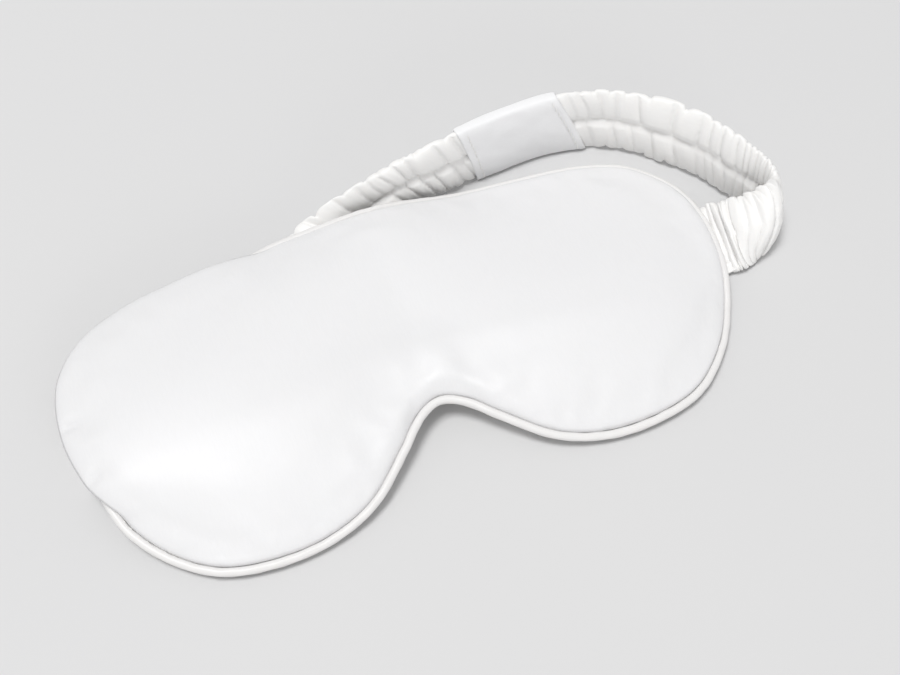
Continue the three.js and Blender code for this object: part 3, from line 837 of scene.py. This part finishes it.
def seam_stitches(name, face, start, end):
    """The stitches of the centre seam on the outer face, 1, or the inner face, -1."""
    pitch = 2.6
    count = int((end - start) * STRAP_RUN / pitch)
    shares = start + (np.arange(count) + 0.5) * (end - start) / count
    _, _, _, normal, way = strap_frame(shares)
    places = strap_surface(shares, np.full(count, 0.5), np.full(count, face * 0.62))
    return stitch_row(name, places, way, normal * face, 1.9, 0.17)


def make_strap():
    """Casing, elastic and centre seam, each as a right-hand turn and a loop."""
    right = closed_tube("strap_casing.right_turn", strap_section(strap_shares(-0.011, JOIN), 72))
    bend_with(right, STRAP_SATIN, ["strap_casing"])
    loop = closed_tube("strap_casing.loop", strap_section(strap_shares(JOIN, 1.0), 72))
    bend_with(loop, STRAP_SATIN, ["strap_casing"])
    for name, node, face in (
        ("needle", "centre_needle_thread", 1.0),
        ("bobbin", "centre_bobbin_thread", -1.0),
    ):
        turn = seam_stitches(f"centre_{name}_thread.right_turn", face, 0.01, JOIN)
        bend_with(turn, THREAD, [node])
        rest = seam_stitches(f"centre_{name}_thread.loop", face, JOIN, 0.99)
        bend_with(rest, THREAD, [node])
    turn = closed_tube("strap_elastic.right_turn", elastic_section(strap_shares(0.003, JOIN, 0.8)))
    bend_with(turn, ELASTIC, ["strap_elastic"])
    rest = closed_tube("strap_elastic.loop", elastic_section(strap_shares(JOIN, 0.997, 0.8)))
    bend_with(rest, ELASTIC, ["strap_elastic"])


def label_ends(across):
    """Shares of the strap's length at which the label starts and ends: both its ends lean."""
    return LABEL_FROM + 0.034 * (across - 0.5), LABEL_TO - 0.004 + 0.014 * (across - 0.5)


def make_label():
    """A satin sleeve sewn round the strap, its two ends folded under, with a blank face."""
    steps, sides = 60, 96
    turn = np.linspace(0, 2 * math.pi, sides, endpoint=False)
    angle = np.tile(turn, steps)
    across = 0.5 - 0.518 * np.sign(np.cos(angle)) * np.abs(np.cos(angle)) ** 0.75
    way_along = np.repeat(np.linspace(0, 1, steps), sides)
    start, end = label_ends(across)
    grid_s = start + (end - start) * way_along
    run = (grid_s - start) * STRAP_RUN
    length = (end - start) * STRAP_RUN
    face = np.where(np.sin(angle) >= 0, 1.0, -1.0)
    edge = np.abs(np.sin(angle)) ** 0.35
    hem = np.minimum(smoothstep(run, 0, 1.2), smoothstep(length - run, 0, 1.2))
    hem_lines = [np.exp(-(((gap - 2.4) / 0.5) ** 2)) for gap in (run, length - run)]
    hem_step = 0.18 * (hem_lines[0] + hem_lines[1])
    ripple = np.array([noise.fractal(Vector((r * 0.16, c * 3.0, f * 5)), 1.0, 2.0, 2)
                       for r, c, f in zip(run, across, face)])
    lift = face * edge * (LABEL_LIFT + 0.3 * hem + 0.3 * ripple - hem_step)
    outer = strap_surface(grid_s, across, lift)
    inner = strap_surface(grid_s, 0.5 + (across - 0.5) * 0.972, lift * 0.86)
    outer, inner = outer.reshape(steps, sides, 3), inner.reshape(steps, sides, 3)
    loop = np.concatenate([outer, inner[::-1]], axis=0)
    faces = [tuple(reversed(f)) for f in grid_faces(2 * steps, sides, True, True)]
    sleeve = make_object("label_sleeve.cloth", loop.reshape(-1, 3), faces)
    finish_piece(sleeve, LABEL_SATIN, "strap", ["label_sleeve"])
    for name, which, inward in (("right", 0, 0.007), ("left", 1, -0.007)):
        count = 11
        across_at = np.linspace(0.08, 0.92, count)
        share = label_ends(across_at)[which] + inward
        near, _, far, normal, _ = strap_frame(share)
        way = (far - near) / np.linalg.norm(far - near, axis=1, keepdims=True)
        places = [strap_surface(share, across_at, np.full(count, face * STITCH_LIFT)) for face in (1.0, -1.0)]
        row = stitch_row(f"label_stitch_{name}.stitches", np.vstack(places), np.vstack([way, way]),
                         np.vstack([normal, -normal]), 1.7, 0.15)
        finish_piece(row, THREAD, "strap", [f"label_stitch_{name}"])


def folded_end(name, path, low_y, high_y, gather):
    """A gathered flat end bent along a side path of (x, z), from low_y to high_y."""
    shares = np.linspace(0, 1, 60)
    side = catmull_rom([(x, z, 0) for x, z in path], shares)[:, :2]
    way = np.gradient(side, axis=0)
    way /= np.linalg.norm(way, axis=1, keepdims=True)
    out = np.column_stack([-way[:, 1], way[:, 0]])
    sides = 96
    turn = np.linspace(0, 2 * math.pi, sides, endpoint=False)
    vertices = []
    for k in range(len(shares)):
        for angle in turn:
            across = math.cos(angle)
            y = (low_y + high_y) / 2 + (high_y - low_y) / 2 * math.copysign(abs(across) ** 0.7, across)
            face = math.copysign(1, math.sin(angle)) * abs(math.sin(angle)) ** 0.4
            shift = 1.4 * noise.noise(Vector((y * 0.2, shares[k] * 1.5, 2)))
            fold = gather * math.sin(y * 2 * math.pi / 3.3 + shift)
            lift = face * (END_HALF + fold)
            x, z = side[k] + out[k] * lift
            vertices.append((x, y, z))
    faces = grid_faces(len(shares), sides, False, True)
    faces.append(tuple(reversed(range(sides))))
    faces.append(tuple((len(shares) - 1) * sides + c for c in range(sides)))
    return make_object(name, vertices, faces)


def make_strap_ends():
    right = folded_end("strap_end_right.cloth", [
        (98.5, 1.6), (101.5, 1.8), (103.6, 2.2), (105.2, 2.6),
    ], -11.6, 13.2, 0.2)
    finish_piece(right, STRAP_SATIN, "mask", ["strap_end_right"])
    left = folded_end("strap_end_left.cloth", [
        (-95.5, 5.3), (-98.2, 5.2), (-100.0, 4.5), (-100.6, 3.5), (-100.2, 2.5), (-99.2, 1.9),
        (-97.5, 1.8),
    ], -8.5, 11.5, 0.18)
    finish_piece(left, STRAP_SATIN, "mask", ["strap_end_left"])
    for name, x, z in (("right", 100.2, 2.75), ("left", -97.4, 6.2)):
        count = 34
        ys = np.linspace(-11, 12.6, count)
        places = np.column_stack([np.full(count, x), ys, np.full(count, z)])
        ways = np.tile([1.0, 0.0, 0.0], (count, 1))
        ups = np.tile([0.0, 0.0, 1.0], (count, 1))
        tack = stitch_row(f"bar_tack_{name}.stitches", places, ways, ups, 1.9, 0.2)
        finish_piece(tack, THREAD, "mask", [f"bar_tack_{name}"])


# ---------------------------------------------------------------- floor, light and camera
def make_stage():
    """A matt, pale, nearly plain floor."""
    mesh = bpy.data.meshes.new("floor")
    half = 12.0
    corners = [(-half, -half, 0), (half, -half, 0), (half, half, 0), (-half, half, 0)]
    mesh.from_pydata(corners, [], [(0, 1, 2, 3)])
    floor = bpy.data.objects.new("floor", mesh)
    bpy.context.scene.collection.objects.link(floor)
    material, tree, shader = new_material("matt_floor")
    place = add_node(tree, "ShaderNodeTexCoord")
    grain = add_node(tree, "ShaderNodeTexNoise")
    grain.inputs["Scale"].default_value = 6.0
    tree.links.new(place.outputs["Object"], grain.inputs["Vector"])
    tint = add_node(tree, "ShaderNodeValToRGB")
    tint.color_ramp.elements[0].color = (0.655, 0.655, 0.66, 1)
    tint.color_ramp.elements[1].color = (0.675, 0.673, 0.672, 1)
    tree.links.new(grain.outputs["Fac"], tint.inputs["Fac"])
    tree.links.new(tint.outputs["Color"], shader.inputs["Base Color"])
    shader.inputs["Roughness"].default_value = 0.85
    shader.inputs["Specular IOR Level"].default_value = 0.1
    floor.data.materials.append(material)


def add_area_light(name, location, size, power):
    """A square soft light that faces the object."""
    target = (0, 0, 0.01)
    data = bpy.data.lights.new(name, "AREA")
    data.shape = "SQUARE"
    data.size = size
    data.energy = power
    lamp = bpy.data.objects.new(name, data)
    lamp.location = location
    lamp.rotation_euler = (Vector(target) - Vector(location)).to_track_quat("-Z", "Y").to_euler()
    bpy.context.scene.collection.objects.link(lamp)


def make_light():
    """White surroundings, a key light over the mask and a low fill in front of the piping."""
    world = bpy.data.worlds.new("studio")
    world.use_nodes = True
    background = world.node_tree.nodes["Background"]
    background.inputs["Color"].default_value = (1.0, 1.0, 1.0, 1)
    background.inputs["Strength"].default_value = 0.5
    bpy.context.scene.world = world
    add_area_light("key_light", (-0.55, 0.0, 2.6), 0.8, 44.5)
    add_area_light("fill_light", (0.1, -1.85, 0.35), 1.2, 7.5)
    bpy.context.scene.view_settings.view_transform = "Standard"


def make_camera():
    """The camera where the photograph was taken from: above the nose edge, a little to the left."""
    data = bpy.data.cameras.new("camera")
    data.lens = 48
    data.sensor_width = 36
    camera = bpy.data.objects.new("camera", data)
    place = np.array([-60.5, -168.3, 318.4])
    right = Vector((0.9244, -0.3813, 0.0108))
    up = Vector((0.325, 0.802, 0.5012))
    back = Vector((-0.1998, -0.4598, 0.8653))
    turn = Matrix((right, up, back)).transposed()
    camera.rotation_mode = "QUATERNION"
    camera.rotation_quaternion = turn.to_quaternion()
    camera.location = Vector((place + SHIFT) * MM)
    bpy.context.scene.collection.objects.link(camera)
    bpy.context.scene.camera = camera


make_mask()
make_piping()
make_strap_ends()
make_strap()
make_label()
make_stage()
make_light()
make_camera()
